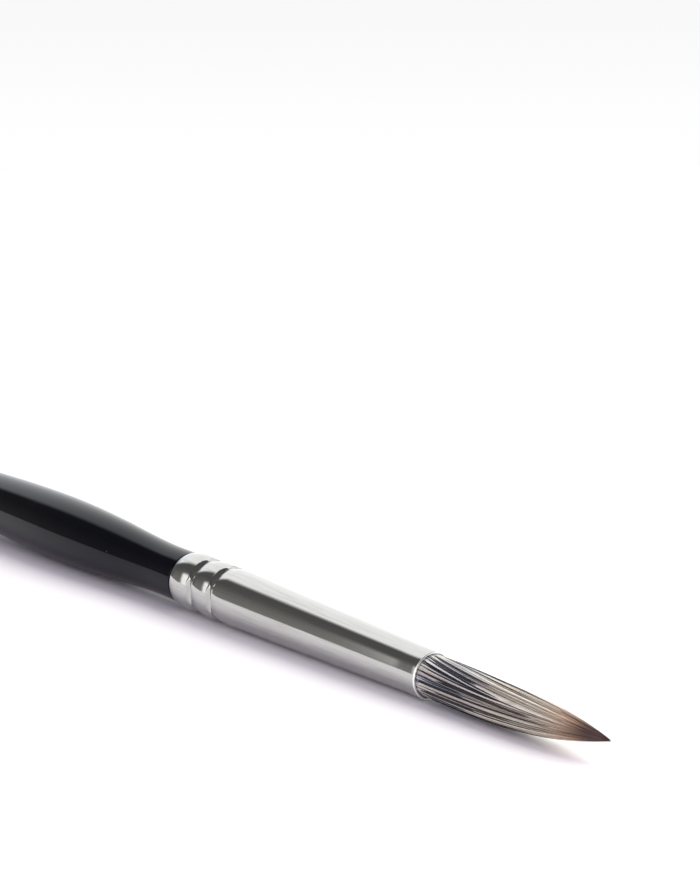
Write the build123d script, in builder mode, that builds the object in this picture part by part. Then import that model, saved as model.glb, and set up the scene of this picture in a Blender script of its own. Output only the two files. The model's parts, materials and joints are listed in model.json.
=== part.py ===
from build123d import *
import math
import os

# Fine detail brush: a black lacquered wooden handle, a crimped metal ferrule and a pointed tuft.
# Lengths are in millimetres. The brush lies on z = 0 with its tip towards +X, and it touches
# that surface at the belly of the handle and at the mouth of the ferrule. A station is a distance
# along the brush's own axis from the ferrule's rear edge: positive towards the tip, negative
# along the handle. A reach is a distance from the ferrule's mouth towards the tip.

# Ferrule: a drawn tube that tapers to its mouth
ferrule_length = 33.4
ferrule_wall = 0.30
lip_wall = 0.20             # the tube is drawn thinner at its mouth
lip_rounding = 0.09
mouth_radius = 1.90
mouth_land = 2.0            # cylindrical stretch behind the mouth, where a protective cap seats
rear_radius = 2.47
rear_rounding = 0.12
tube_radius = 2.52          # where the plain taper starts, in front of the crimps
tube_start = 7.85
band_crown = 0.21           # swell of the metal between two crimps
shoulder_crown = 0.04       # and between the last one and the taper

# Crimps: rings of flats pressed by a set of jaws
crimp_first = 3.15          # station of the rear ring
crimp_pitch = 3.2
crimp_rings = 2
crimp_jaws = 6
crimp_groove = 0.14         # of the ring all round
crimp_depth = 0.36          # of the flat that one jaw presses
jaw_radius = 0.45
jaw_turn = 34.0             # degrees from straight up to the first jaw

# Handle
handle_length = 126.0       # visible length behind the ferrule
neck_length = 3.0
neck_radius = 2.37
shoulder_back = 12.0
shoulder_radius = 2.81
belly_back = 25.4
belly_radius = 3.31
waist_back = 62.0
waist_radius = 2.15
tail_radius = 1.10
lacquer_coat = 0.12
tenon_length = 13.0         # the part of the wood that sits in the ferrule
tenon_chamfer = 0.4
tenon_film = 0.06           # adhesive around the tenon

# Tuft
hair_out = 18.4             # from the mouth to the tip
tuft_fullness = 3.3         # how long the tuft keeps its width before it narrows to the point
root_station = 21.0         # where the hair roots end inside the ferrule
tuft_layer = 0.22           # thickness of the dark outer locks
point_radius = 0.55         # the bundle of longest hairs in the middle
tip_radius = 0.03
lock_count = 18
lock_width = 13.5           # degrees of the tuft's circle that one lock covers
shortest_lock = 5.4         # reach of the dark locks
longest_lock = 11.5
lock_stagger = 7            # steps round the tuft between locks of neighbouring reach
lock_sink = 2.4             # length over which a lock's end thins out
lock_edge = 0.03            # thickness left at its very end

# Root of the tuft
plug_back = 2.0             # adhesive plug behind the roots
plug_grip = 1.0             # how far it rises around them
thread_diameter = 0.20
thread_turns = 4
thread_gap = 0.02           # between neighbouring turns
tucked_radius = 0.07        # of the thread's end, squeezed under the turns
binding_space = 0.4         # clear length at each end of the binding
spread_length = 2.5         # over which the bundle fills out to the bore in front of the binding

fit_gap = 0.02              # between pieces that are glued or packed together
outline_steps = 12          # points that draw the tuft's outline


def handle_outline(inset):
    """Half outline of the handle behind the ferrule, drawn in by an inset."""
    dome = tail_radius - inset
    dome_start = tail_radius - handle_length
    diagonal = dome * math.sqrt(0.5)
    tail_slope = (waist_radius - tail_radius) / (handle_length - tail_radius - waist_back)
    neck = Line((0, neck_radius - inset), (-neck_length, neck_radius - inset))
    swell = Spline(
        (-neck_length, neck_radius - inset),
        (-shoulder_back, shoulder_radius - inset),
        (-belly_back, belly_radius - inset),
        tangents=((-1, 0), (-1, 0)),
    )
    taper = Spline(
        (-belly_back, belly_radius - inset),
        (-waist_back, waist_radius - inset),
        (dome_start, dome),
        tangents=((-1, 0), (-1, -tail_slope)),
    )
    tail = ThreePointArc((dome_start, dome), (dome_start - diagonal, diagonal), (dome_start - dome, 0))
    return [neck, swell, taper, tail]


def ring_radius(station):
    """Outer radius of the ferrule's rear end at a station, before the jaws close on it."""
    return rear_radius + (tube_radius - rear_radius) * station / tube_start


crimp_stations = [crimp_first + i * crimp_pitch for i in range(crimp_rings)]
land_start = ferrule_length - mouth_land


def rear_outline(inset):
    """Arcs of the ferrule's outline up to its plain taper, each as start, middle and end."""
    rings = [(s, ring_radius(s) - crimp_groove - inset) for s in crimp_stations]
    knots = [(0, rear_radius - inset), *rings, (tube_start, tube_radius - inset)]
    crowns = [band_crown] * crimp_rings + [shoulder_crown]
    return [
        ((s0, r0), ((s0 + s1) / 2, (r0 + r1) / 2 + crown), (s1, r1))
        for (s0, r0), (s1, r1), crown in zip(knots, knots[1:], crowns)
    ]


# The brush leans until its widest place and the mouth both touch the surface.
with BuildLine():
    outline_edges = handle_outline(0)
outline_points = [tuple(edge @ (i / 200))[:2] for edge in outline_edges for i in range(201)]
outline_points += [point for band in rear_outline(0) for point in band]
lean = math.atan(max((radius - mouth_radius) / (ferrule_length - x) for x, radius in outline_points))

# The section plane holds the brush's axis as its X and the direction away from the surface as its Y.
middle_station = (ferrule_length + hair_out - handle_length) / 2
section = Plane(
    origin=(
        -middle_station * math.cos(lean),
        0,
        mouth_radius * math.cos(lean) + ferrule_length * math.sin(lean),
    ),
    x_dir=(math.cos(lean), 0, -math.sin(lean)),
    z_dir=(0, -1, 0),
)
brush_axis = Axis(section.origin, section.x_dir)

binding_start = root_station + plug_grip + binding_space
turn_pitch = thread_diameter + thread_gap
binding_end = binding_start + thread_turns * turn_pitch + binding_space


def station_plane(station):
    """Plane across the brush at a station, facing the tip."""
    return Plane(section.origin + section.x_dir * station, x_dir=section.y_dir, z_dir=section.x_dir)


def side_plane(angle):
    """The section plane turned about the brush's axis by an angle in degrees."""
    turn = math.radians(angle)
    facing = section.z_dir * math.cos(turn) - section.y_dir * math.sin(turn)
    return Plane(section.origin, x_dir=section.x_dir, z_dir=facing)


def handle_body(inset):
    """Round solid of the handle behind the ferrule, drawn in by an inset."""
    with BuildPart() as body:
        with BuildSketch(section):
            with BuildLine():
                edges = handle_outline(inset)
                Polyline(edges[-1] @ 1, (0, 0), edges[0] @ 0)
            make_face()
        revolve(axis=brush_axis)
    return body.part


def ferrule_core(rear_inset, mouth_inset):
    """Solid that fills the ferrule's outline, drawn in by one inset at the rear and one at the mouth."""
    bands = rear_outline(rear_inset)
    with BuildPart() as core:
        with BuildSketch(section):
            with BuildLine():
                for band in bands:
                    ThreePointArc(*band)
                Polyline(
                    bands[-1][-1],
                    (land_start, mouth_radius - mouth_inset),
                    (ferrule_length, mouth_radius - mouth_inset),
                    (ferrule_length, 0),
                    (0, 0),
                    bands[0][0],
                )
            make_face()
        revolve(axis=brush_axis)
        for station in crimp_stations:
            with Locations(station_plane(station).location):
                centre_radius = ring_radius(station) - crimp_depth + jaw_radius
                with PolarLocations(centre_radius, crimp_jaws, start_angle=jaw_turn):
                    Cylinder(
                        jaw_radius + rear_inset,
                        2 * ring_radius(station),
                        rotation=(90, 0, 0),
                        mode=Mode.SUBTRACT,
                    )
    return core.part


def bore_radius(station):
    """Inner radius of the ferrule in front of its crimps."""
    rear = tube_radius - ferrule_wall
    along = min(1.0, (station - tube_start) / (land_start - tube_start))
    return rear + (mouth_radius - lip_wall - rear) * along


waist = bore_radius(binding_end) - thread_diameter - 2 * fit_gap
mouth_fill = bore_radius(ferrule_length) - fit_gap


def tuft_radius(reach):
    """Radius of the whole tuft at a reach."""
    return max(tip_radius, mouth_fill * (1 - (reach / hair_out) ** tuft_fullness))


def tuft_reach(radius):
    """Reach at which the whole tuft has come down to a radius."""
    return hair_out * (1 - radius / mouth_fill) ** (1 / tuft_fullness)


def rooted_line(inset):
    """Outline of the hair bundle from its roots to the mouth, drawn in by an inset."""
    spread_end = binding_end + spread_length
    return Polyline(
        (root_station, waist - inset),
        (binding_end, waist - inset),
        (spread_end, bore_radius(spread_end) - fit_gap - inset),
        (land_start, bore_radius(land_start) - fit_gap - inset),
        (ferrule_length, mouth_fill - inset),
    )


def free_line(inset, start, end):
    """Outline of the tuft between two reaches, drawn in by an inset."""
    reaches = [start + (end - start) * i / outline_steps for i in range(outline_steps + 1)]
    return Spline(*[(ferrule_length + r, tuft_radius(r) - inset) for r in reaches])


with BuildPart() as ferrule:
    add(ferrule_core(0, 0))
    add(ferrule_core(ferrule_wall, lip_wall), mode=Mode.SUBTRACT)
    lip_edges = ferrule.edges().filter_by(GeomType.CIRCLE).group_by(brush_axis)[-1]
    fillet(lip_edges, lip_rounding)
    rear_edges = ferrule.edges().filter_by(GeomType.CIRCLE).group_by(brush_axis)[0]
    fillet(rear_edges.sort_by(SortBy.RADIUS)[-1], rear_rounding)
ferrule.part.label = "ferrule"

with BuildPart() as handle_lacquer:
    add(handle_body(0))
    add(handle_body(lacquer_coat), mode=Mode.SUBTRACT)
handle_lacquer.part.label = "handle_lacquer"

film_outside = fit_gap
film_inside = fit_gap + tenon_film
tenon_outside = tenon_film + 2 * fit_gap

with BuildPart() as tenon_adhesive:
    add(ferrule_core(ferrule_wall + film_outside, lip_wall + film_outside))
    add(ferrule_core(ferrule_wall + film_inside, lip_wall + film_inside), mode=Mode.SUBTRACT)
    split(bisect_by=station_plane(tenon_length), keep=Keep.BOTTOM)
tenon_adhesive.part.label = "tenon_adhesive"

with BuildPart() as handle_core:
    add(ferrule_core(ferrule_wall + tenon_outside, lip_wall + tenon_outside))
    split(bisect_by=station_plane(tenon_length), keep=Keep.BOTTOM)
    chamfer(handle_core.faces().sort_by(brush_axis)[-1].edges(), tenon_chamfer)
    add(handle_body(lacquer_coat + fit_gap))
handle_core.part.label = "handle_core"

# The plug is a shallow cup that fills the bore and grips the roots.
plug_start = root_station - plug_back
plug_end = root_station + plug_grip
with BuildPart() as root_plug:
    with BuildSketch(section):
        Polygon(
            (plug_start, 0),
            (plug_start, bore_radius(plug_start) - fit_gap),
            (plug_end, bore_radius(plug_end) - fit_gap),
            (plug_end, waist + fit_gap),
            (root_station - fit_gap, waist + fit_gap),
            (root_station - fit_gap, 0),
            align=None,
        )
    revolve(axis=brush_axis)
root_plug.part.label = "root_plug"

# The thread goes round the roots, and its end lies along the bundle under the turns.
turn_radius = waist + fit_gap + thread_diameter / 2
with BuildPart() as binding_thread:
    for i in range(thread_turns):
        with Locations(station_plane(binding_start + (i + 0.5) * turn_pitch).location):
            Torus(turn_radius, thread_diameter / 2)
    with Locations(station_plane(binding_start).location):
        with Locations((turn_radius, 0, 0)):
            Cylinder(
                tucked_radius,
                thread_turns * turn_pitch,
                align=(Align.CENTER, Align.CENTER, Align.MIN),
            )
binding_thread.part.label = "binding_thread"

# The longest hairs stand in the middle and make the point.
with BuildPart() as point_hairs:
    with BuildSketch(section):
        with BuildLine():
            emerging = tuft_reach(point_radius)
            shank = Line((root_station, point_radius), (ferrule_length + emerging, point_radius))
            tip = free_line(0, emerging, hair_out)
            Polyline(tip @ 1, (ferrule_length + hair_out, 0), (root_station, 0), shank @ 0)
        make_face()
    revolve(axis=brush_axis)
point_hairs.part.label = "point_hairs"

# The pale hairs surround them. The bundle stands back by one layer under the dark locks.
pale_inset = tuft_layer + fit_gap
pale_bore = point_radius + fit_gap
pale_end = tuft_reach(pale_bore + lock_edge)
with BuildPart() as pale_hairs:
    with BuildSketch(section):
        with BuildLine():
            packed = rooted_line(pale_inset)
            covered = free_line(pale_inset, 0, longest_lock)
            open_line = free_line(0, longest_lock + lock_sink, pale_end)
            Line(covered @ 1, open_line @ 0)
            Polyline(
                open_line @ 1,
                (ferrule_length + pale_end, pale_bore),
                (root_station, pale_bore),
                packed @ 0,
            )
        make_face()
    revolve(axis=brush_axis)
pale_hairs.part.label = "pale_hairs"

# The dark locks lie side by side round the outside and end at staggered reaches.
with BuildPart() as dark_locks:
    for i in range(lock_count):
        share = (i * lock_stagger % lock_count) / (lock_count - 1)
        end = shortest_lock + (longest_lock - shortest_lock) * share
        with BuildSketch(side_plane(i * 360 / lock_count)):
            with BuildLine():
                outside = rooted_line(0)
                outside_free = free_line(0, 0, end - lock_sink)
                inside = rooted_line(tuft_layer)
                inside_free = free_line(tuft_layer, 0, end)
                Polyline(
                    outside_free @ 1,
                    inside_free @ 1 + (0, lock_edge),
                    inside_free @ 1,
                )
                Line(inside @ 0, outside @ 0)
            make_face()
        revolve(axis=brush_axis, revolution_arc=lock_width)
dark_locks.part.label = "dark_locks"

os.makedirs("parts", exist_ok=True)
pieces = [
    handle_core,
    handle_lacquer,
    ferrule,
    tenon_adhesive,
    root_plug,
    binding_thread,
    point_hairs,
    pale_hairs,
    dark_locks,
]
for piece in pieces:
    export_step(piece.part, f"parts/{piece.part.label}.step")

mouth = section.origin + section.x_dir * ferrule_length
print("lean", round(math.degrees(lean), 3), "degrees")
print("ferrule mouth at", [round(v, 4) for v in mouth], "along", [round(v, 6) for v in section.x_dir])
print("whole length", handle_length + ferrule_length + hair_out)
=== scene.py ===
"""Looks of a fine detail brush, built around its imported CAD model.

The handle gets its black lacquer, the ferrule its nickel plate and pressed crimps, and the tuft its
hairs, each as a mesh of its own in the frame's metres. A station is a distance along the brush's axis
from the ferrule's rear edge, positive towards the tip. A reach is a distance from the ferrule's mouth.
An angle goes round the axis, from straight up towards -Y. Sizes are in millimetres.
"""

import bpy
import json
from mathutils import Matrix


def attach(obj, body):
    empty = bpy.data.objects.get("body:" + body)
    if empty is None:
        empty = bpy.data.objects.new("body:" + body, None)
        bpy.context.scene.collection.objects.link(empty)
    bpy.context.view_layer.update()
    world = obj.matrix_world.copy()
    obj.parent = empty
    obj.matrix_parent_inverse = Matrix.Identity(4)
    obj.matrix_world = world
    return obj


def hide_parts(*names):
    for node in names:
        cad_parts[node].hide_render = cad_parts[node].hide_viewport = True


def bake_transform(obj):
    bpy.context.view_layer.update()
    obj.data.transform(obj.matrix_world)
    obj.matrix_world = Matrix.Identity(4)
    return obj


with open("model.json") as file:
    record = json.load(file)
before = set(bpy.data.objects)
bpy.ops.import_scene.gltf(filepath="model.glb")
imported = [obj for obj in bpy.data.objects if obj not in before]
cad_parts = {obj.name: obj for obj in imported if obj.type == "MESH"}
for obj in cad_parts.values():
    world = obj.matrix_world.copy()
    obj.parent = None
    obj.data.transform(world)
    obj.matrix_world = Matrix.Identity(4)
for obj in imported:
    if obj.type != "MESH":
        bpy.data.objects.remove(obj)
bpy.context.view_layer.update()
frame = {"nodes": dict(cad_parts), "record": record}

import json
import logging
import math
from dataclasses import dataclass, field
from enum import Enum
from typing import Any

import bpy
import numpy as np
from mathutils import Vector

log = logging.getLogger("detail_brush")
MM = 0.001
Rgb = tuple[float, float, float]


# --- shader maths -------------------------------------------------------------------------------


class Shade:
    """A node's output that takes part in Python expressions."""

    def __init__(self, kit: "NodeKit", socket: bpy.types.NodeSocket) -> None:
        self.kit = kit
        self.socket = socket

    def _maths(self, operation: str, *values: Any) -> "Shade":
        """Adds one Math node over the given values."""
        return self.kit.node("ShaderNodeMath", {"operation": operation}, dict(enumerate(values)))

    def __add__(self, other: Any) -> "Shade":
        """Sum."""
        return self._maths("ADD", self, other)

    def __sub__(self, other: Any) -> "Shade":
        """Difference."""
        return self._maths("SUBTRACT", self, other)

    def __rsub__(self, other: Any) -> "Shade":
        """Reflected difference, as in 1 - mask."""
        return self._maths("SUBTRACT", other, self)

    def __mul__(self, other: Any) -> "Shade":
        """Product."""
        return self._maths("MULTIPLY", self, other)

    def __truediv__(self, other: Any) -> "Shade":
        """Quotient."""
        return self._maths("DIVIDE", self, other)

    __radd__ = __add__
    __rmul__ = __mul__

    def between(self, low: float, high: float, to_low: float = 0.0, to_high: float = 1.0) -> "Shade":
        """Maps a range smoothly to another one.

        Args:
            low: value that maps to to_low.
            high: value that maps to to_high.
            to_low: result at low and beyond it.
            to_high: result at high and beyond it.

        Returns:
            The mapped value.
        """
        values = {"Value": self, "From Min": low, "From Max": high, "To Min": to_low, "To Max": to_high}
        return self.kit.node("ShaderNodeMapRange", {"interpolation_type": "SMOOTHSTEP"}, values)

    def part(self, axis: str) -> "Shade":
        """One component of a vector, by its axis letter."""
        return self.kit.node("ShaderNodeSeparateXYZ", {}, {0: self}, "XYZ".index(axis))


class NodeKit:
    """Builds the nodes of one material or world."""

    def __init__(self, tree: bpy.types.NodeTree) -> None:
        """Starts from an emptied node tree."""
        self.tree = tree
        tree.nodes.clear()

    def node(
        self,
        kind: str,
        settings: dict[str, Any] | None = None,
        inputs: dict[int | str, Any] | None = None,
        output: int | str = 0,
    ) -> Shade:
        """Adds any node.

        Args:
            kind: the node's type.
            settings: its properties, set first. A ramp's stops go under "stops".
            inputs: values or links of its sockets, by name or index.
            output: the output to return, by name or index.

        Returns:
            That output.
        """
        made = self.tree.nodes.new(kind)
        for name, value in (settings or {}).items():
            if name == "stops":
                self._stops(made.color_ramp, value)
            else:
                setattr(made, name, value)
        for key, value in (inputs or {}).items():
            self._fill(made.inputs[key], value)
        return Shade(self, made.outputs[output])

    @staticmethod
    def _stops(ramp: bpy.types.ColorRamp, stops: list[tuple[float, Rgb]]) -> None:
        """Writes a ramp's stops, given from left to right."""
        while len(ramp.elements) < len(stops):
            ramp.elements.new(1.0)
        for element, (place, colour) in zip(ramp.elements, stops):
            element.position = place
            element.color = (*colour, 1.0)

    def _fill(self, socket: bpy.types.NodeSocket, value: Any) -> None:
        """Links an output to a socket, or sets the socket's own value."""
        if isinstance(value, Shade):
            self.tree.links.new(value.socket, socket)
        elif socket.type == "RGBA":
            socket.default_value = (*value, 1.0)[:4]
        else:
            socket.default_value = value

    def mix(self, share: Any, first: Any, second: Any) -> Shade:
        """Mixes two colours: the first at share 0, the second at share 1."""
        return self.node("ShaderNodeMix", {"data_type": "RGBA"}, {0: share, 6: first, 7: second}, 2)

    def ramp(self, value: Shade, stops: list[tuple[float, Rgb]]) -> Shade:
        """Colours a value through a ramp's stops."""
        return self.node("ShaderNodeValToRGB", {"stops": stops}, {"Fac": value})

    def own(self, name: str) -> Shade:
        """A number that the mesh carries for each of its points."""
        return self.node("ShaderNodeAttribute", {"attribute_name": name}, {}, "Fac")

    def place(self, frame_of: "BrushFrame", stretch: tuple[float, float, float]) -> Shade:
        """Place in the brush's own frame, in millimetres.

        Args:
            frame_of: the brush's frame.
            stretch: scale of the coordinate along, beside and above the axis.

        Returns:
            The coordinate vector.
        """
        raw = self.node("ShaderNodeTexCoord", {}, {}, "Object")
        turned = self.node(
            "ShaderNodeMapping",
            {"vector_type": "TEXTURE"},
            {"Vector": raw, "Location": frame_of.origin, "Rotation": frame_of.turn},
        )
        scale = tuple(s / MM for s in stretch)
        return self.node("ShaderNodeVectorMath", {"operation": "MULTIPLY"}, {0: turned, 1: scale})

    def noise(self, place: Shade, scale: float, detail: float = 2.0, roughness: float = 0.5) -> Shade:
        """Smooth noise with an even spread about one half."""
        values = {"Vector": place, "Scale": scale, "Detail": detail, "Roughness": roughness}
        return self.node("ShaderNodeTexNoise", {}, values)

    def bump(self, height: Shade, depth_mm: float, strength: float = 1.0) -> Shade:
        """Turns a height from 0 to 1 into a bump that many millimetres deep."""
        values = {"Height": height, "Distance": depth_mm * MM, "Strength": strength}
        return self.node("ShaderNodeBump", {}, values)

    def surface(self, **inputs: Any) -> None:
        """Ends the tree in one Principled shader.

        Args:
            inputs: its sockets, with an underscore for each space in a name.
        """
        named = {name.replace("_", " "): value for name, value in inputs.items()}
        self.end(self.node("ShaderNodeBsdfPrincipled", {}, named))

    def end(self, shader: Shade, kind: str = "ShaderNodeOutputMaterial") -> None:
        """Links a shader to the tree's output node."""
        self.tree.links.new(shader.socket, self.tree.nodes.new(kind).inputs["Surface"])


# --- geometry -----------------------------------------------------------------------------------


@dataclass(frozen=True)
class BrushFrame:
    """The brush's own axes in the CAD frame."""

    origin: Vector
    along: Vector
    up: Vector
    side: Vector

    @classmethod
    def from_record(cls, record: dict[str, Any], ferrule_length: float) -> "BrushFrame":
        """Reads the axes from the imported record.

        Args:
            record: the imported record.
            ferrule_length: distance from the ferrule's rear edge to its mouth, in millimetres.

        Returns:
            The frame, with its origin on the axis at the ferrule's rear edge.
        """
        mouth = Vector(record["behaviour"]["joints"][0]["pos_m"])
        along = Vector(record["mounts"][0]["axis"]).normalized()
        side = Vector((0, -1, 0))
        return cls(mouth - along * (ferrule_length * MM), along, side.cross(along).normalized(), side)

    @property
    def turn(self) -> tuple[float, float, float]:
        """Rotation from the CAD frame to the brush's axes, as Euler angles."""
        return (0.0, math.atan2(-self.along.z, self.along.x), 0.0)

    def at(self, station: float) -> Vector:
        """Point on the axis at a station."""
        return self.origin + self.along * (station * MM)

    def points(self, station: np.ndarray, radius: np.ndarray, angle: np.ndarray) -> np.ndarray:
        """Points around the axis.

        Args:
            station: stations in millimetres.
            radius: distances from the axis in millimetres.
            angle: angles in radians, from straight up towards -Y.

        Returns:
            Coordinates in metres, in one more dimension than the inputs.
        """
        station, radius, angle = np.broadcast_arrays(station, radius, angle)
        above, beside = radius * np.cos(angle), radius * np.sin(angle)
        parts = ((station, self.along), (above, self.up), (beside, self.side))
        return np.array(self.origin) + sum(p[..., None] * np.array(v) * MM for p, v in parts)


def make_mesh(
    name: str, points: np.ndarray, faces: list[Any], marks: dict[str, np.ndarray]
) -> bpy.types.Object:
    """Makes a smooth-shaded mesh object.

    Args:
        name: the piece's name.
        points: its vertices, in metres.
        faces: lists or arrays of vertex indices, each with faces of one size.
        marks: numbers for each point, by attribute name.

    Returns:
        The linked object.
    """
    mesh = bpy.data.meshes.new(name)
    every_face = [list(face) for group in faces for face in group]
    mesh.from_pydata(points.reshape(-1, 3).tolist(), [], every_face)
    mesh.validate()
    mesh.update()
    mesh.polygons.foreach_set("use_smooth", np.ones(len(mesh.polygons), bool))
    for mark, values in marks.items():
        layer = mesh.attributes.new(mark, "FLOAT", "POINT")
        layer.data.foreach_set("value", np.asarray(values, np.float32).ravel())
    made = bpy.data.objects.new(name, mesh)
    bpy.context.scene.collection.objects.link(made)
    return made


def ring_faces(rings: int, around: int, closed: bool = False, first: int = 0) -> np.ndarray:
    """Quads between rings of points that follow one another.

    Args:
        rings: number of rings.
        around: points in a ring.
        closed: whether the last ring joins the first.
        first: index of the first point.

    Returns:
        An array with four indices a row.
    """
    i, j = np.meshgrid(np.arange(rings if closed else rings - 1), np.arange(around), indexing="ij")
    i, j = i.ravel(), j.ravel()
    k, n = (i + 1) % rings, (j + 1) % around
    return first + np.stack([i * around + j, i * around + n, k * around + n, k * around + j], 1)


def arc(
    centre: tuple[float, float], radius: float, start: float, end: float, steps: int
) -> list[tuple[float, float]]:
    """Points of an arc in the plane of station and radius.

    Args:
        centre: station and radius of its centre.
        radius: its own radius.
        start: angle of its first point, in degrees from the axis's direction.
        end: angle of its last point.
        steps: number of its parts.

    Returns:
        Station and radius of each point.
    """
    turns = np.radians(np.linspace(start, end, steps + 1))
    return [(centre[0] + radius * math.cos(t), centre[1] + radius * math.sin(t)) for t in turns]


def shell(
    name: str, brush: BrushFrame, loops: list[tuple[np.ndarray, np.ndarray]], around: int
) -> bpy.types.Object:
    """Closed mesh of rings round the axis, the last of which joins the first.

    Args:
        name: the piece's name.
        brush: the brush's frame.
        loops: station and radius of each ring, as numbers or as arrays round the ring.
        around: points in a ring.

    Returns:
        The piece.
    """
    angle = np.arange(around) * math.tau / around
    stations = np.array([np.broadcast_to(station, angle.shape) for station, _ in loops])
    radii = np.array([np.broadcast_to(radius, angle.shape) for _, radius in loops])
    points = brush.points(stations, radii, angle[None, :])
    return make_mesh(name, points, [ring_faces(len(loops), around, closed=True)], {})


@dataclass
class Ferrule:
    """Drawn metal tube with two crimps and a rounded lip."""

    length: float = 33.4
    wall: float = 0.30
    lip_wall: float = 0.20
    lip_rounding: float = 0.09
    mouth_radius: float = 1.90
    mouth_land: float = 2.0
    rear_radius: float = 2.47
    rear_rounding: float = 0.14
    tube_radius: float = 2.52
    tube_start: float = 7.85
    band_crown: float = 0.21
    shoulder_crown: float = 0.04
    crimps: tuple[float, ...] = (3.15, 6.35)
    crimp_groove: float = 0.14
    jaws: int = 6
    crimp_depth: float = 0.36
    jaw_radius: float = 0.45
    jaw_turn: float = 34.0
    crease_softness: float = 0.05
    rim_height: float = 0.045
    rim_width: float = 0.06
    around: int = 240

    def base_radius(self, station: np.ndarray | float) -> np.ndarray:
        """Outer radius before the jaws close on the tube."""
        edges = np.array([0.0, *self.crimps, self.tube_start])
        groove = np.array([0.0, *[self.crimp_groove] * len(self.crimps), 0.0])
        crowns = np.array([self.band_crown] * len(self.crimps) + [self.shoulder_crown])
        front = [self.length - self.mouth_land, self.length]
        rings = [*(self.ring_radius(edges) - groove), self.mouth_radius, self.mouth_radius]
        plain = np.interp(station, [*edges, *front], rings)
        band = np.clip(np.searchsorted(edges, station, side="right") - 1, 0, len(edges) - 2)
        share = np.clip((station - edges[band]) / (edges[band + 1] - edges[band]), 0, 1)
        return plain + crowns[band] * 4 * share * (1 - share)

    def ring_radius(self, station: np.ndarray | float) -> np.ndarray | float:
        """Outer radius of the tube's rear end before it is crimped."""
        return self.rear_radius + (self.tube_radius - self.rear_radius) * station / self.tube_start

    def outer_radius(self, station: float, angle: np.ndarray) -> np.ndarray:
        """Outer radius with the crimps pressed in.

        Args:
            station: station in millimetres.
            angle: angles round the axis in radians.

        Returns:
            Radii in millimetres.
        """
        radius = self.base_radius(station) + 0 * angle
        pitch = math.tau / self.jaws
        from_jaw = (angle - math.radians(self.jaw_turn) + pitch / 2) % pitch - pitch / 2
        for crimp in self.crimps:
            dip = self.jaw_radius**2 - (station - crimp) ** 2
            if dip > 0:
                centre = self.ring_radius(crimp) - self.crimp_depth + self.jaw_radius
                pressed = (centre - math.sqrt(dip)) / np.cos(from_jaw)
                gap = np.clip(1 - np.abs(radius - pressed) / self.crease_softness, 0, None)
                beyond = np.clip((pressed - radius) / self.rim_width, 0, None)
                rim = self.rim_height * beyond * np.exp(1 - beyond)
                radius = np.minimum(radius, pressed) - self.crease_softness / 4 * gap**2 + rim
        return radius

    def build(self, brush: BrushFrame) -> bpy.types.Object:
        """Builds the tube.

        Args:
            brush: the brush's frame.

        Returns:
            The ferrule as one closed shell.
        """
        angle = np.arange(self.around) * math.tau / self.around
        rear, lip = self.rear_rounding, self.lip_rounding
        crimped_end = self.tube_start + 0.2
        inner_mouth = self.mouth_radius - self.lip_wall
        plain = np.linspace(crimped_end, self.length - lip, 60)[1:]
        stations = [*np.linspace(rear, crimped_end, 190), *plain]
        inside = np.linspace(self.length - self.mouth_land, 0, 90)
        loops = arc((rear, float(self.base_radius(rear)) - rear), rear, 180, 90, 8)[:-1]
        loops += [(s, self.outer_radius(s, angle)) for s in stations]
        loops += arc((self.length - lip, self.mouth_radius - lip), lip, 90, 0, 8)[1:]
        loops += arc((self.length - lip, inner_mouth + lip), lip, 0, -90, 8)
        loops += [(s, self.outer_radius(s, angle) - self.wall) for s in inside[1:]]
        return shell("ferrule_tube", brush, loops, self.around)


def spline_slope(x: list[float], y: list[float], first: float, last: float) -> float:
    """Slope at the middle one of three knots, for a curve whose bend is continuous there.

    Args:
        x: places of the knots.
        y: heights of the knots.
        first: slope at the first knot.
        last: slope at the last knot.

    Returns:
        The slope.
    """
    h0, h1 = x[1] - x[0], x[2] - x[1]
    pull = 3 * ((y[1] - y[0]) / h0**2 + (y[2] - y[1]) / h1**2) - first / h0 - last / h1
    return pull / (2 / h0 + 2 / h1)


def hermite(at: np.ndarray, x: list[float], y: list[float], slopes: list[float]) -> np.ndarray:
    """Smooth curve through knots with the given slopes.

    Args:
        at: places to evaluate.
        x: places of the knots, rising.
        y: heights of the knots.
        slopes: slopes at the knots.

    Returns:
        Heights.
    """
    x, y, m = np.array(x), np.array(y), np.array(slopes)
    i = np.clip(np.searchsorted(x, at, side="right") - 1, 0, len(x) - 2)
    h = x[i + 1] - x[i]
    t = np.clip((at - x[i]) / h, 0, 1)
    start = (1 + 2 * t) * (1 - t) ** 2 * y[i] + t * (1 - t) ** 2 * h * m[i]
    return start + t**2 * (3 - 2 * t) * y[i + 1] + t**2 * (t - 1) * h * m[i + 1]


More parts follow.
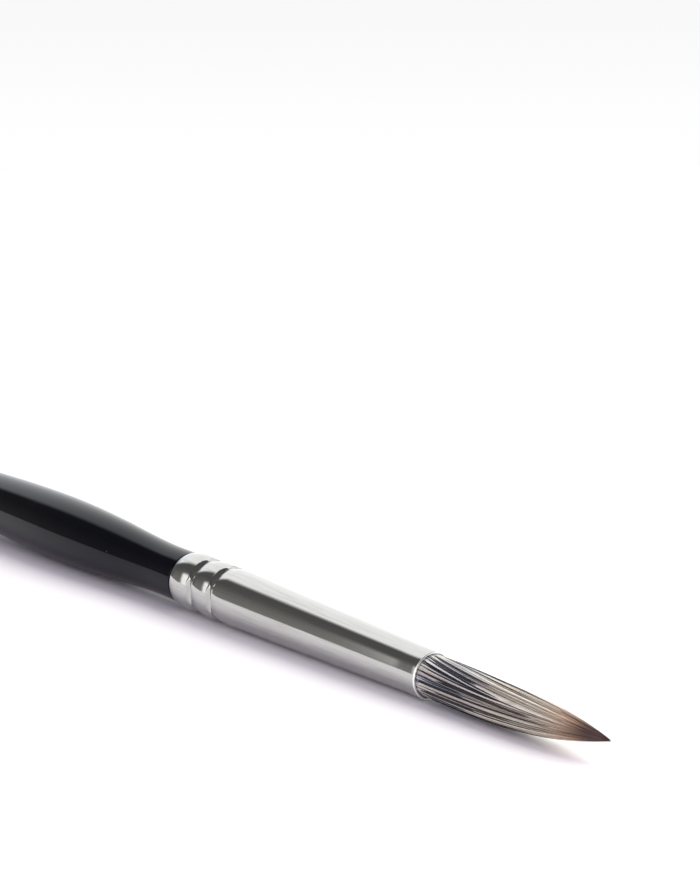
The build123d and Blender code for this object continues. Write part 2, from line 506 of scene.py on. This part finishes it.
@dataclass
class Handle:
    """Turned wooden handle under a coat of black lacquer."""

    length: float = 126.0
    neck_length: float = 3.0
    neck_radius: float = 2.37
    shoulder_back: float = 12.0
    shoulder_radius: float = 2.81
    belly_back: float = 25.4
    belly_radius: float = 3.31
    waist_back: float = 62.0
    waist_radius: float = 2.15
    tail_radius: float = 1.10
    coat: float = 0.12
    around: int = 160

    def radius(self, back: np.ndarray) -> np.ndarray:
        """Outer radius at distances behind the ferrule, up to where the tail's dome starts."""
        dome_start = self.length - self.tail_radius
        tail_slope = (self.tail_radius - self.waist_radius) / (dome_start - self.waist_back)
        front = [self.neck_length, self.shoulder_back, self.belly_back]
        front_radii = [self.neck_radius, self.shoulder_radius, self.belly_radius]
        rear = [self.belly_back, self.waist_back, dome_start]
        rear_radii = [self.belly_radius, self.waist_radius, self.tail_radius]
        shoulder = spline_slope(front, front_radii, 0.0, 0.0)
        waist = spline_slope(rear, rear_radii, 0.0, tail_slope)
        swell = hermite(back, front, front_radii, [0.0, shoulder, 0.0])
        taper = hermite(back, rear, rear_radii, [0.0, waist, tail_slope])
        return np.where(back < self.belly_back, swell, taper)

    def build(self, brush: BrushFrame) -> bpy.types.Object:
        """Builds the lacquer coat.

        Args:
            brush: the brush's frame.

        Returns:
            The coat as one closed shell.
        """
        dome_start = self.length - self.tail_radius
        back = np.linspace(0, dome_start, 330)
        outside = list(zip(-back, self.radius(back)))
        outside += arc((-dome_start, 0), self.tail_radius, 90, 179.5, 20)[1:]
        inside = arc((-dome_start, 0), self.tail_radius - self.coat, 179.5, 90, 12)
        inside += list(zip(-back[::-4], self.radius(back[::-4]) - self.coat))
        return shell("handle_coat", brush, outside + inside, self.around)


@dataclass
class Strands:
    """Hairs of one kind, as arrays with a row for each hair and a column for each point along it."""

    reach: np.ndarray
    depth: np.ndarray
    angle: np.ndarray
    width: np.ndarray
    flatness: float
    tone: np.ndarray


@dataclass
class Tuft:
    """Pointed tuft of pale hairs with dark locks over them."""

    ferrule_length: float = 33.4
    hair_out: float = 18.4
    bend_out: float = 24.5
    mouth_fill: float = 1.68
    fullness: float = 3.3
    tip_radius: float = 0.07
    lift: float = 0.48
    lift_start: float = 0.33
    lift_power: float = 1.7
    root: float = -2.4
    mouth_gap: float = 0.02
    mouth_gap_length: float = 0.9
    mouth_layer: float = 0.985
    mouth_rise: float = 0.02
    comb_turn: float = 0.85
    comb_length: float = 0.4
    comb_middle: float = 5.0
    lit_side: float = 65.0
    sides: int = 6
    steps: int = 20
    core_sides: int = 48
    core_rings: int = 40
    core_tone: float = 0.4
    bare_side: float = -35.0
    bare_reach: float = 44.0
    bare_share: float = 0.75
    seed: int = 12
    rng: np.random.Generator = field(init=False)

    def __post_init__(self) -> None:
        """Seeds the hairs' random draws."""
        self.rng = np.random.default_rng(self.seed)

    def radius(self, reach: np.ndarray) -> np.ndarray:
        """Radius of the whole tuft at reaches."""
        share = np.clip(reach / self.hair_out, 0, 1)
        gap = self.mouth_gap * np.exp(-((np.clip(reach, 0, None) / self.mouth_gap_length) ** 2))
        return np.maximum(self.tip_radius, self.mouth_fill * (1 - share**self.fullness) - gap)

    def comb(self, angle: np.ndarray, reach: np.ndarray) -> np.ndarray:
        """Turn of hairs round the tuft at reaches: those on top lie across towards one side."""
        on_top = np.clip(np.cos(angle - math.radians(self.comb_middle)), 0, None) ** 2
        share = np.clip(reach / self.hair_out, 0, 1)
        return self.comb_turn * on_top * (1 - np.exp(-share / self.comb_length))

    def rise(self, reach: np.ndarray) -> np.ndarray:
        """How far the tuft's middle has turned up at reaches."""
        share = (reach / self.hair_out - self.lift_start) / (1 - self.lift_start)
        seat = self.mouth_rise * np.exp(-((np.clip(reach, 0, None) / self.mouth_gap_length) ** 2))
        return self.lift * np.clip(share, 0, None) ** self.lift_power + seat

    def bend(self, brush: BrushFrame, points: np.ndarray, reach: np.ndarray) -> np.ndarray:
        """Lifts points around the straight axis to the tuft's own line."""
        return points + self.rise(reach)[..., None] * MM * np.array(brush.up)

    def lit_side_share(self, angle: np.ndarray) -> np.ndarray:
        """How far points lie round towards the lit side of the tuft, from 0 to 1; the hair finishes paint
        light and shade by it.
        """
        return 0.5 + 0.5 * np.cos(angle - math.radians(self.lit_side))

    def strand_mesh(
        self, name: str, brush: BrushFrame, sets: list[Strands], core: float, core_end: float
    ) -> bpy.types.Object:
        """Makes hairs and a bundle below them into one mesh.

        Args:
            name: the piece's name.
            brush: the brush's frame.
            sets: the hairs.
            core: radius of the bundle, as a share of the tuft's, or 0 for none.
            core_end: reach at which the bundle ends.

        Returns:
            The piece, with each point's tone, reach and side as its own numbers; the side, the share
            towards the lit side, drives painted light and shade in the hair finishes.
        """
        points, faces, tone, along, side, count = [], [], [], [], [], 0
        turn = np.arange(self.sides) * math.tau / self.sides
        for hairs in sets:
            hair_count, steps = hairs.reach.shape
            rho, half = hairs.depth, hairs.width
            across = half[..., None] * np.cos(turn)
            out = half[..., None] * hairs.flatness * np.sin(turn)
            radius = rho[..., None] + out
            radial = np.hypot(radius, across)
            angle = hairs.angle[..., None] + np.arctan2(across, radius)
            reach = np.broadcast_to(hairs.reach[..., None], radial.shape)
            placed = brush.points(self.ferrule_length + reach, radial, angle)
            points.append(self.bend(brush, placed, reach).reshape(-1, 3))
            per_hair = steps * self.sides
            quads = ring_faces(steps, self.sides)
            root_cap = np.arange(self.sides)[::-1]
            caps = np.array([root_cap, per_hair - 1 - root_cap])
            for group in (quads, caps):
                rows = group[None] + count + np.arange(hair_count)[:, None, None] * per_hair
                faces.append(rows.reshape(-1, group.shape[1]))
            tone.append(np.broadcast_to(hairs.tone[:, None, None], radial.shape).ravel())
            along.append((reach / self.hair_out).ravel())
            side.append(self.lit_side_share(angle).ravel())
            count += hair_count * per_hair
        if core:
            around = self.core_sides
            reach = np.linspace(self.root, core_end, self.core_rings)
            radii = np.minimum(core * self.radius(reach), self.radius(reach) - 0.02)
            radii = np.where(reach < 0, core * self.mouth_fill, np.maximum(radii, 0.004))
            angle = np.arange(around) * math.tau / around
            placed = brush.points(self.ferrule_length + reach[:, None], radii[:, None], angle[None])
            points.append(self.bend(brush, placed, np.repeat(reach[:, None], around, 1)).reshape(-1, 3))
            root_cap, total = np.arange(around)[::-1], len(reach) * around
            faces.append(ring_faces(len(reach), around, first=count))
            faces.append(count + np.array([root_cap, total - 1 - root_cap]))
            tone.append(np.full(total, self.core_tone))
            along.append(np.repeat(reach / self.hair_out, around))
            side.append(np.tile(self.lit_side_share(angle), len(reach)))
        marks = {"tone": tone, "along": along, "side": side}
        marks = {mark: np.concatenate(values) for mark, values in marks.items()}
        return make_mesh(name, np.concatenate(points), faces, marks)

    def hairs(
        self,
        angle: np.ndarray,
        end: np.ndarray,
        half_width: np.ndarray,
        layer: np.ndarray,
        flatness: float = 1.0,
        blunt: float = 2.0,
        stray: float = 0.05,
        tone: np.ndarray | None = None,
        start: float | np.ndarray | None = None,
    ) -> Strands:
        """Lays hairs along the tuft's outline.

        Args:
            angle: where round the tuft each one lies.
            end: reach of its tip.
            half_width: half its width at the root.
            layer: its place between the axis and the outline, from 0 to 1.
            flatness: its thickness over its width.
            blunt: how long it keeps its width, as a power.
            stray: spread of its drift round the tuft, in radians.
            tone: its shade, from 0 to 1.
            start: reach at which it comes up, if not at its root.

        Returns:
            The hairs.
        """
        number = len(angle)
        first = np.broadcast_to(self.root if start is None else start, (number,))[:, None]
        share = np.linspace(0, 1, self.steps) ** 0.9
        reach = first + (end[:, None] - first) * share
        width = half_width[:, None] * np.maximum(1 - share**blunt, 0.03)
        if start is not None:
            width = width * np.clip(share / 0.12 + 0.05, 0, 1)
        drift = self.rng.normal(0, stray, number)[:, None] * np.clip(reach / self.hair_out, 0, 1)
        sway = self.rng.normal(0, 0.008, number)[:, None] * np.sin(
            reach / self.hair_out * math.tau * 1.3 + self.rng.uniform(0, math.tau, number)[:, None]
        )
        outline = self.radius(reach)
        close = np.exp(-((np.clip(reach, 0, None) / self.mouth_gap_length) ** 2))
        layers = layer[:, None] + np.clip(self.mouth_layer - layer[:, None], 0, None) * close
        depth = np.maximum(np.minimum(layers * outline, outline - width * flatness), 0.0)
        tones = self.rng.uniform(0, 1, number) if tone is None else tone
        turned = angle[:, None] + self.comb(angle[:, None], reach) + drift + sway
        return Strands(reach, depth, turned, width, flatness, tones)

    def spread(self, number: int, jitter: float = 0.5) -> np.ndarray:
        """Angles round the tuft, evenly spaced but for a share of their spacing."""
        return (np.arange(number) + self.rng.uniform(-jitter, jitter, number)) * math.tau / number

    def pale(self) -> list[Strands]:
        """Pale hairs in two layers, with broad flat bunches near the mouth."""
        outer, inner, bunches, fine = 92, 110, 30, 26
        draw = self.rng.uniform
        end_outer = self.hair_out * self.rng.triangular(0.6, 0.92, 0.985, outer)
        end_inner = self.hair_out * draw(0.8, 0.99, inner)
        end_bunch = self.hair_out * draw(0.35, 0.75, bunches)
        end_fine = self.hair_out * draw(0.85, 0.99, fine)
        return [
            self.hairs(
                self.spread(outer),
                end_outer,
                draw(0.08, 0.15, outer),
                draw(0.92, 0.945, outer),
                flatness=0.4,
                blunt=1.8,
                stray=0.07,
                tone=1 - 0.9 * draw(0, 1, outer) ** 2,
            ),
            self.hairs(
                self.spread(inner),
                end_inner,
                draw(0.06, 0.10, inner),
                draw(0.88, 0.91, inner),
                flatness=0.7,
            ),
            self.hairs(
                self.spread(bunches),
                end_bunch,
                draw(0.12, 0.24, bunches),
                np.full(bunches, 0.955),
                flatness=0.2,
                blunt=1.5,
                stray=0.08,
                tone=draw(0.35, 1.0, bunches),
            ),
            self.hairs(
                self.spread(fine),
                end_fine,
                draw(0.035, 0.055, fine),
                draw(0.955, 0.98, fine),
                flatness=0.6,
                blunt=1.6,
                stray=0.06,
            ),
        ]

    def dark(self) -> list[Strands]:
        """Dark locks that end at staggered reaches, and a few fine dark hairs that run on."""
        locks, fine, draw = 42, 18, self.rng.uniform
        middle = self.spread(locks, 0.3)
        bare_edge = math.cos(math.radians(self.bare_reach))
        bare = np.cos(middle - math.radians(self.bare_side)) > bare_edge
        middle = middle[~(bare & (draw(0, 1, locks) < self.bare_share))]
        locks = len(middle)
        lock_end = self.rng.permutation(np.linspace(0.26, 0.72, locks))
        late = np.where(draw(0, 1, locks) < 0.35, draw(0.03, 0.2, locks) * self.hair_out, self.root)
        picks = self.rng.choice([1, 2], locks, p=[0.78, 0.22])
        owner = np.repeat(np.arange(locks), picks)
        offset = np.concatenate([np.arange(p) - (p - 1) / 2 for p in picks])
        number = len(owner)
        angle = middle[owner] + offset * 0.07 + self.rng.normal(0, 0.015, number)
        end = self.hair_out * np.clip(lock_end[owner] + self.rng.normal(0, 0.05, number), 0.2, 0.74)
        tones = np.clip(draw(0, 1, locks)[owner] * 0.7 + draw(0, 0.3, number), 0, 1)
        starts = late[owner] + draw(0, 0.6, number)
        half, layer = draw(0.045, 0.078, number), np.full(number, 1.0)
        broad = self.hairs(
            angle, end, half, layer, flatness=0.4, blunt=9.0, stray=0.06, tone=tones, start=starts
        )
        fine_end = self.hair_out * draw(0.72, 0.985, fine)
        fine_half = draw(0.035, 0.06, fine)
        outline = np.full(fine, 1.0)
        thin = self.hairs(
            self.spread(fine), fine_end, fine_half, outline, flatness=0.7, blunt=2.2, stray=0.05
        )
        return [broad, thin]

    def point(self) -> list[Strands]:
        """Longest hairs, which close the tip."""
        number = 64
        end = (self.hair_out - 0.02) * self.rng.triangular(0.96, 0.995, 1.0, number)
        layer = self.rng.uniform(0.6, 1.0, number)
        half = self.rng.uniform(0.034, 0.05, number)
        start = self.rng.uniform(0.58, 0.78, number) * self.hair_out
        return [self.hairs(self.spread(number), end, half, layer, blunt=4.0, stray=0.04, start=start)]

    def build(self, brush: BrushFrame) -> dict[str, bpy.types.Object]:
        """Builds the tuft's three pieces.

        Args:
            brush: the brush's frame.

        Returns:
            The pieces by the CAD node that each stands for.
        """
        pale_end, point_end = 0.955 * self.hair_out, 0.985 * self.hair_out
        return {
            "pale_hairs": self.strand_mesh("pale_hair_bundle", brush, self.pale(), 0.90, pale_end),
            "dark_locks": self.strand_mesh("dark_hair_locks", brush, self.dark(), 0.0, 0.0),
            "point_hairs": self.strand_mesh("point_hair_bundle", brush, self.point(), 0.30, point_end),
        }


# --- finishes -----------------------------------------------------------------------------------


@dataclass(frozen=True)
class Finish:
    """A surface finish, taken from one of the record's material slots."""

    slot: str

    def nodes(self, kit: NodeKit, brush: BrushFrame) -> None:
        """Builds the finish's nodes."""
        raise NotImplementedError

    def material(self, brush: BrushFrame) -> bpy.types.Material:
        """Makes the finish's material."""
        made = bpy.data.materials.new(self.slot + "_finish")
        made.use_nodes = True
        self.nodes(NodeKit(made.node_tree), brush)
        return made

    def dress(self, piece: bpy.types.Object, brush: BrushFrame) -> None:
        """Puts the finish on a piece."""
        piece.data.materials.clear()
        piece.data.materials.append(self.material(brush))

    def dress_node(self, node: bpy.types.Object, brush: BrushFrame) -> None:
        """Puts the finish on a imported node, through its object's material slots."""
        made = self.material(brush)
        for slot in node.material_slots:
            slot.link = "OBJECT"
            slot.material = made


@dataclass(frozen=True)
class NickelPlate(Finish):
    """Bright nickel with fine lines from drawing the tube, painted shade along the crimp creases and a
    brighter lip that is partly burnish, partly painted highlight.
    """

    slot: str = "nickel_plate"
    metal: Rgb = (0.475, 0.475, 0.465)
    tarnish: Rgb = (0.39, 0.385, 0.37)
    burnish_and_highlight: Rgb = (0.95, 0.95, 0.94)
    painted_crease_shade: Rgb = (0.10, 0.095, 0.09)
    lip: float = 33.4
    creases: tuple[float, ...] = (3.15, 6.35)

    def nodes(self, kit: NodeKit, brush: BrushFrame) -> None:
        """Builds the finish's nodes."""
        place = kit.place(brush, (1, 1, 1))
        drawn = kit.noise(kit.place(brush, (0.05, 4, 4)), 1.5, 4.0, 0.7)
        specks = kit.noise(place, 14.0, 1.0).between(0.66, 0.74)
        worn = drawn.between(0.42, 0.7) * 0.8 + specks * 0.3
        station = place.part("X")
        # Brighter, rougher metal in a thin band at the lip: partly burnish, partly a painted highlight for
        # the lip's bright rim.
        edge = station.between(self.lip - 0.13, self.lip - 0.09)
        colour = kit.mix(edge, kit.mix(worn, self.metal, self.tarnish), self.burnish_and_highlight)
        # Painted shade: the colour darkens towards each crimp crease, where shade falls.
        for crease in self.creases:
            off = kit.node("ShaderNodeMath", {"operation": "ABSOLUTE"}, {0: station - crease})
            colour = kit.mix(off.between(0.10, 0.03), colour, self.painted_crease_shade)
        kit.surface(
            Base_Color=colour,
            Metallic=1.0,
            Roughness=drawn.between(0.35, 0.7, 0.07, 0.13) + edge * 0.3,
            Normal=kit.bump(drawn, 0.0016, 0.6),
        )


@dataclass(frozen=True)
class Lacquer(Finish):
    """Gloss black lacquer with a slight orange peel and a few specks of dust."""

    slot: str = "lacquer"
    black: Rgb = (0.0020, 0.0021, 0.0038)
    dust: Rgb = (0.10, 0.10, 0.11)

    def nodes(self, kit: NodeKit, brush: BrushFrame) -> None:
        """Builds the finish's nodes."""
        place = kit.place(brush, (1, 1, 1))
        peel = kit.noise(place, 0.8, 1.0)
        scatter = {"Vector": place, "Scale": 0.55, "Randomness": 1.0}
        cells = kit.node("ShaderNodeTexVoronoi", {"feature": "F1"}, scatter, "Distance")
        chosen = kit.noise(place, 0.33, 1.0).between(0.5, 0.56)
        dust = cells.between(0.045, 0.03) * chosen
        smear = kit.noise(kit.place(brush, (0.25, 1, 1)), 0.7, 3.0, 0.6)
        kit.surface(
            Base_Color=kit.mix(dust, self.black, self.dust),
            Roughness=smear.between(0.4, 0.75, 0.045, 0.13) + dust * 0.3,
            IOR=1.3,
            Specular_IOR_Level=0.3,
            Specular_Tint=(0.66, 0.78, 1.0),
            Normal=kit.bump(peel, 0.004, 0.5),
        )


@dataclass(frozen=True)
class Wood(Finish):
    """Pale close-grained hardwood."""

    slot: str = "wood"
    early: Rgb = (0.56, 0.38, 0.22)
    late: Rgb = (0.36, 0.21, 0.11)

    def nodes(self, kit: NodeKit, brush: BrushFrame) -> None:
        """Builds the finish's nodes."""
        grain_place = kit.place(brush, (0.07, 1, 1))
        rings = kit.node(
            "ShaderNodeTexWave",
            {"wave_type": "BANDS", "bands_direction": "Z"},
            {"Vector": grain_place, "Scale": 0.7, "Distortion": 5.0, "Detail": 3.0, "Detail Scale": 1.2},
            "Fac",
        )
        pores = kit.noise(kit.place(brush, (0.3, 9, 9)), 1.4, 3.0, 0.6)
        fleck = pores.between(0.56, 0.7)
        kit.surface(
            Base_Color=kit.mix(fleck * 0.5, kit.mix(rings, self.early, self.late), self.late),
            Roughness=pores.between(0.3, 0.7, 0.5, 0.68),
            Normal=kit.bump(pores, 0.02, 0.5),
        )


@dataclass(frozen=True)
class Adhesive(Finish):
    """Set amber adhesive with trapped air."""

    slot: str = "adhesive"
    clear: Rgb = (0.62, 0.40, 0.14)
    dense: Rgb = (0.40, 0.22, 0.06)

    def nodes(self, kit: NodeKit, brush: BrushFrame) -> None:
        """Builds the finish's nodes."""
        place = kit.place(brush, (1, 1, 1))
        cloud = kit.noise(place, 1.3, 3.0)
        cells = kit.node("ShaderNodeTexVoronoi", {}, {"Vector": place, "Scale": 3.0}, "Distance")
        bubbles = cells.between(0.2, 0.08)
        kit.surface(
            Base_Color=kit.mix(cloud.between(0.35, 0.7), self.clear, self.dense),
            Roughness=cloud.between(0.3, 0.7, 0.22, 0.4),
            Normal=kit.bump(bubbles, 0.03, 0.6),
        )


@dataclass(frozen=True)
class Thread(Finish):
    """Twisted binding thread."""

    slot: str = "thread"
    light: Rgb = (0.72, 0.68, 0.58)
    dark: Rgb = (0.44, 0.40, 0.32)

    def nodes(self, kit: NodeKit, brush: BrushFrame) -> None:
        """Builds the finish's nodes."""
        place = kit.place(brush, (1, 1, 1))
        plies = kit.node(
            "ShaderNodeTexWave",
            {"wave_type": "BANDS", "bands_direction": "DIAGONAL"},
            {"Vector": place, "Scale": 2.2, "Distortion": 0.6, "Detail": 1.0},
            "Fac",
        )
        fuzz = kit.noise(place, 12.0, 3.0, 0.7)
        kit.surface(
            Base_Color=kit.mix(plies * 0.6 + fuzz * 0.4, self.dark, self.light),
            Roughness=fuzz.between(0.3, 0.7, 0.75, 0.95),
            Normal=kit.bump(plies, 0.03, 0.7),
        )


@dataclass(frozen=True)
class PaleHair(Finish):
    """Pale hairs, silvery near the ferrule, tan towards the tip and brown at it."""

    slot: str = "pale_hair"

    def nodes(self, kit: NodeKit, brush: BrushFrame) -> None:
        """Builds the finish's nodes."""
        tone, along, side = kit.own("tone"), kit.own("along"), kit.own("side")
        near = kit.ramp(
            tone,
            [
                (0.0, (0.04, 0.045, 0.06)),
                (0.2, (0.17, 0.20, 0.26)),
                (0.45, (0.40, 0.43, 0.47)),
                (0.7, (0.50, 0.46, 0.385)),
                (1.0, (0.71, 0.73, 0.68)),
            ],
        )
        middle = kit.ramp(
            tone,
            [
                (0.0, (0.13, 0.10, 0.08)),
                (0.25, (0.42, 0.37, 0.29)),
                (0.6, (0.70, 0.645, 0.52)),
                (1.0, (0.88, 0.86, 0.75)),
            ],
        )
        tan = kit.ramp(
            tone,
            [
                (0.0, (0.09, 0.04, 0.026)),
                (0.35, (0.48, 0.28, 0.15)),
                (1.0, (0.90, 0.69, 0.46)),
            ],
        )
        tip = kit.ramp(tone, [(0.0, (0.022, 0.012, 0.016)), (1.0, (0.15, 0.075, 0.055))])
        body = kit.mix(along.between(0.15, 0.5), near, middle)
        # Painted light and shade: on the tuft's lit side the tan starts later and the brown tip earlier.
        body = kit.mix((along - side * 0.10).between(0.52, 0.78), body, tan)
        body = kit.mix((along + side * 0.10).between(0.84, 0.99), body, tip)
        streak = kit.noise(kit.place(brush, (0.14, 5, 5)), 2.2, 2.0)
        colour = kit.mix(streak.between(0.45, 0.68) * 0.28, body, (0.12, 0.09, 0.085))
        kit.surface(
            Base_Color=colour,
            Roughness=tone.between(0.0, 1.0, 0.45, 0.32),
            Specular_IOR_Level=0.5,
        )


@dataclass(frozen=True)
class DarkHair(Finish):
    """Blue-black and dark brown hairs."""

    slot: str = "dark_hair"

    def nodes(self, kit: NodeKit, brush: BrushFrame) -> None:
        """Builds the finish's nodes."""
        tone, along = kit.own("tone"), kit.own("along")
        near = kit.ramp(
            tone,
            [
                (0.0, (0.005, 0.009, 0.022)),
                (0.65, (0.010, 0.012, 0.021)),
                (1.0, (0.05, 0.03, 0.022)),
            ],
        )
        end = kit.ramp(tone, [(0.0, (0.035, 0.026, 0.026)), (1.0, (0.11, 0.07, 0.05))])
        kit.surface(
            Base_Color=kit.mix(along.between(0.3, 0.8), near, end),
            Roughness=tone.between(0.0, 1.0, 0.46, 0.36),
            Specular_IOR_Level=0.22,
        )


@dataclass(frozen=True)
class PointHair(Finish):
    """Brown hairs that close the tip."""

    slot: str = "point_hair"

    def nodes(self, kit: NodeKit, brush: BrushFrame) -> None:
        """Builds the finish's nodes."""
        tone, along = kit.own("tone"), kit.own("along")
        cream = kit.ramp(
            tone,
            [
                (0.0, (0.28, 0.23, 0.19)),
                (0.5, (0.56, 0.50, 0.42)),
                (1.0, (0.80, 0.75, 0.66)),
            ],
        )
        tan = kit.ramp(
            tone,
            [
                (0.0, (0.14, 0.075, 0.05)),
                (0.6, (0.46, 0.29, 0.17)),
                (1.0, (0.78, 0.58, 0.38)),
            ],
        )
        tip = kit.ramp(tone, [(0.0, (0.018, 0.010, 0.014)), (1.0, (0.11, 0.05, 0.04))])
        # Painted light and shade: the brown tip starts earlier on the tuft's lit side.
        side = kit.own("side")
        kit.surface(
            Base_Color=kit.mix(
                (along + side * 0.1).between(0.82, 1.0), kit.mix(along.between(0.68, 0.86), cream, tan), tip
            ),
            Roughness=tone.between(0.0, 1.0, 0.42, 0.3),
            Specular_IOR_Level=0.5,
        )


class Surround(Enum):
    """Colours of the studio's surroundings."""

    BACKDROP = (0.945, 0.945, 0.945)
    FILL = (0.93, 0.85, 1.0)
    KEY = (0.98, 1.0, 0.88)
    OVERHEAD = (1.0, 1.0, 1.0)
    FRONT_LOW = (0.20, 0.195, 0.185)
    FRONT_HIGH = (0.085, 0.084, 0.082)
    LEFT_HIGH = (0.93, 0.96, 1.0)
    LEFT_LOW = (0.10, 0.10, 0.10)
    RIGHT_LOW = (1.12, 1.12, 1.10)


@dataclass(frozen=True)
class Studio:
    """Pale floor, soft light from behind and above, and the camera."""

    floor_half: float = 4.0
    floor_tone: Rgb = (0.88, 0.88, 0.88)
    overhead_strength: float = 1.55
    fill_strength: float = 0.84
    key_strength: float = 3.1
    key_spread: float = 76.0
    key_place: tuple[float, float, float] = (0.2, 0.8, 0.95)
    camera_place: tuple[float, float, float] = (0.163937, -0.080689, 0.040537)
    camera_down: float = 9.409
    camera_round: float = 52.094
    focal_px: float = 1700.0
    long_side_px: float = 875.0

    def floor(self) -> None:
        """Lays the floor, just under the brush."""
        half = self.floor_half
        quarter = [(-half, -half, 0), (half, -half, 0), (half, half, 0), (-half, half, 0)]
        corners = np.array(quarter, float)
        floor = make_mesh("studio_floor", corners, [np.array([[0, 1, 2, 3]])], {})
        made = bpy.data.materials.new("floor_paper")
        made.use_nodes = True
        kit = NodeKit(made.node_tree)
        kit.surface(Base_Color=self.floor_tone, Roughness=0.9, Specular_IOR_Level=0.1)
        floor.data.materials.append(made)

    def world(self) -> None:
        """Lights the scene from all round: bright above and behind, dark low in front."""
        made = bpy.data.worlds.new("studio")
        made.use_nodes = True
        bpy.context.scene.world = made
        kit = NodeKit(made.node_tree)
        way = kit.node("ShaderNodeTexCoord", {}, {}, "Generated")
        sideways = {0: 0 - way.part("Y"), 1: way.part("Z")}
        tilt = kit.node("ShaderNodeMath", {"operation": "ARCTAN2"}, sideways) / math.pi
        end_on = way.part("X").between(-0.90, -0.97)
        bluish = way.part("X").between(-0.82, -0.87)
        right, far_right = way.part("X").between(-0.72, -0.62), way.part("X").between(-0.50, -0.36)
        low = kit.mix(tilt.between(0.16, 0.5), Surround.FRONT_HIGH.value, Surround.FRONT_LOW.value)
        low = kit.mix(end_on, low, Surround.LEFT_LOW.value)
        low = kit.mix(right * tilt.between(0.26, 0.34), low, Surround.RIGHT_LOW.value)
        side_on_edge, end_on_edge = tilt.between(0.005, 0.095), tilt.between(-0.45, 0.09)
        edge = side_on_edge * (1 - end_on) + end_on_edge * end_on
        edge = edge * (1 - far_right) + tilt.between(-0.34, -0.22) * far_right
        in_front = edge * tilt.between(0.94, 0.86)
        high = kit.mix(bluish, Surround.OVERHEAD.value, Surround.LEFT_HIGH.value)
        around = kit.mix(in_front, high, low)
        mirroring = {"Color": around, "Strength": self.overhead_strength}
        mirrored = kit.node("ShaderNodeBackground", {}, mirroring)
        filling = {"Color": Surround.FILL.value, "Strength": self.fill_strength}
        fill = kit.node("ShaderNodeBackground", {}, filling)
        above = way.part("Z").between(0.0, 0.09)
        shown = kit.mix(above, Surround.OVERHEAD.value, Surround.BACKDROP.value)
        seen = kit.node("ShaderNodeBackground", {}, {"Color": shown, "Strength": 1.0})
        glossy = kit.node("ShaderNodeLightPath", {}, {}, "Is Glossy Ray")
        direct = kit.node("ShaderNodeLightPath", {}, {}, "Is Camera Ray")
        light = kit.node("ShaderNodeMixShader", {}, {0: glossy, 1: fill, 2: mirrored})
        everything = kit.node("ShaderNodeMixShader", {}, {0: direct, 1: light, 2: seen})
        kit.end(everything, "ShaderNodeOutputWorld")

    def key_light(self) -> None:
        """Shines a broad soft light from behind and above."""
        lamp = bpy.data.lights.new("key", "SUN")
        lamp.energy, lamp.angle = self.key_strength, math.radians(self.key_spread)
        lamp.color = Surround.KEY.value
        key = bpy.data.objects.new("key", lamp)
        key.location = self.key_place
        key.visible_glossy = False
        key.rotation_euler = (-Vector(self.key_place)).to_track_quat("-Z", "Y").to_euler()
        bpy.context.scene.collection.objects.link(key)

    def camera(self) -> None:
        """Places the camera, with its focal length from the frame's long side."""
        lens = bpy.data.cameras.new("camera")
        lens.sensor_width = 36.0
        lens.lens = self.focal_px * lens.sensor_width / self.long_side_px
        lens.clip_start = 0.005
        camera = bpy.data.objects.new("camera", lens)
        camera.location = self.camera_place
        camera.rotation_euler = (math.radians(90 - self.camera_down), 0, math.radians(self.camera_round))
        bpy.context.scene.collection.objects.link(camera)
        bpy.context.scene.camera = camera

    def build(self) -> None:
        """Sets up the whole studio."""
        self.camera()
        self.floor()
        self.world()
        self.key_light()
        bpy.context.scene.view_settings.view_transform = "Standard"


def place_piece(piece: bpy.types.Object, finish: Finish, brush: BrushFrame, node: str) -> None:
    """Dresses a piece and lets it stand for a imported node.

    Args:
        piece: the finished mesh.
        finish: its finish.
        brush: the brush's frame.
        node: the node that it replaces.
    """
    finish.dress(piece, brush)
    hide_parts(node)
    log.info("%s stands for %s: %d faces", piece.name, node, len(piece.data.polygons))


def main() -> None:
    """Builds the studio and the brush."""
    logging.basicConfig(level=logging.INFO, format="%(name)s: %(message)s")
    Studio().build()
    ferrule, handle, tuft = Ferrule(), Handle(), Tuft()
    brush = BrushFrame.from_record(frame["record"], ferrule.length)
    for piece, finish, node in (
        (ferrule.build(brush), NickelPlate(), "ferrule"),
        (handle.build(brush), Lacquer(), "handle_lacquer"),
    ):
        place_piece(piece, finish, brush, node)
        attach(piece, "brush")
    hair_finish = {"pale_hairs": PaleHair(), "dark_locks": DarkHair(), "point_hairs": PointHair()}
    for node, piece in tuft.build(brush).items():
        place_piece(piece, hair_finish[node], brush, node)
        mouth, bend_end = brush.at(ferrule.length), brush.at(ferrule.length + tuft.bend_out)
        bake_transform(piece)
    inner = {
        "handle_core": Wood(),
        "tenon_adhesive": Adhesive(),
        "root_plug": Adhesive(),
        "binding_thread": Thread(),
    }
    for node, finish in inner.items():
        finish.dress_node(frame["nodes"][node], brush)
        log.info("%s dressed", node)


if __name__ == "__main__":
    main()
